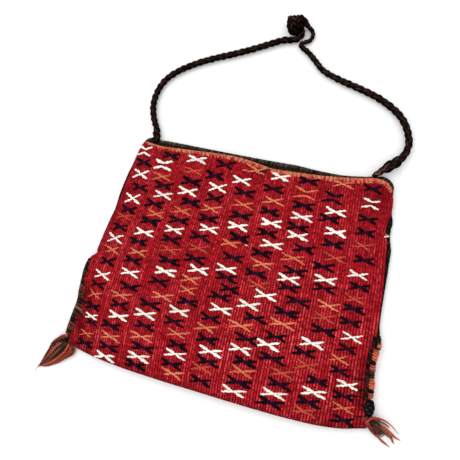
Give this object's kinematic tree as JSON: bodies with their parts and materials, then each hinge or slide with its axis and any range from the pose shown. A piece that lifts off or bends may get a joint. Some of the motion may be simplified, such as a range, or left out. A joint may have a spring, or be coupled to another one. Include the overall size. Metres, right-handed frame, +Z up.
{
  "type": "woven shoulder bag",
  "caption": "Flat-woven wool shoulder bag with rows of brocaded crosses, wrapped sides, tassels and a braided strap with a toggle knot, lying on its back.",
  "frame": {"origin": "on the back cloth's flat underside, under the middle of the pocket", "axes": "+X to the bag's right as its front is seen, +Y towards the mouth and strap, +Z up out of the front cloth"},
  "size_m": [0.3661, 0.4298, 0.0189],
  "materials": {
    "red_cloth": "matt, ribbed weft-faced wool weave",
    "back_cloth": "matt plain-woven undyed dark wool",
    "salmon_yarn": "matt overcast wool yarn",
    "brown_yarn": "matt wrapped wool yarn",
    "dark_yarn": "matt dark wool yarn",
    "goat_hair": "matt braided goat hair with a slight fuzz"
  },
  "bodies": {
    "root": {"front_panel": "red_cloth", "back_panel": "back_cloth", "mouth_band": "salmon_yarn", "back_hem": "dark_yarn", "left_wrap_1": "dark_yarn", "left_wrap_2": "brown_yarn", "left_wrap_3": "dark_yarn", "left_wrap_4": "salmon_yarn", "left_wrap_5": "dark_yarn", "left_wrap_6": "brown_yarn", "left_corner_knot": "dark_yarn", "right_wrap_1": "dark_yarn", "right_wrap_2": "salmon_yarn", "right_wrap_3": "dark_yarn", "right_wrap_4": "salmon_yarn", "right_wrap_5": "dark_yarn", "right_wrap_6": "salmon_yarn", "right_wrap_7": "dark_yarn", "right_wrap_8": "salmon_yarn", "right_corner_knot": "dark_yarn", "left_tassel_1": "salmon_yarn", "left_tassel_2": "dark_yarn", "left_tassel_3": "salmon_yarn", "right_tassel_1": "salmon_yarn", "right_tassel_2": "dark_yarn", "right_tassel_3": "salmon_yarn", "strap_left": "goat_hair", "strap_right": "goat_hair", "strap_right_end": "goat_hair", "strap_lashing_left": "goat_hair", "strap_lashing_right": "goat_hair", "toggle_knot": "goat_hair"}
  },
  "joints": []
}
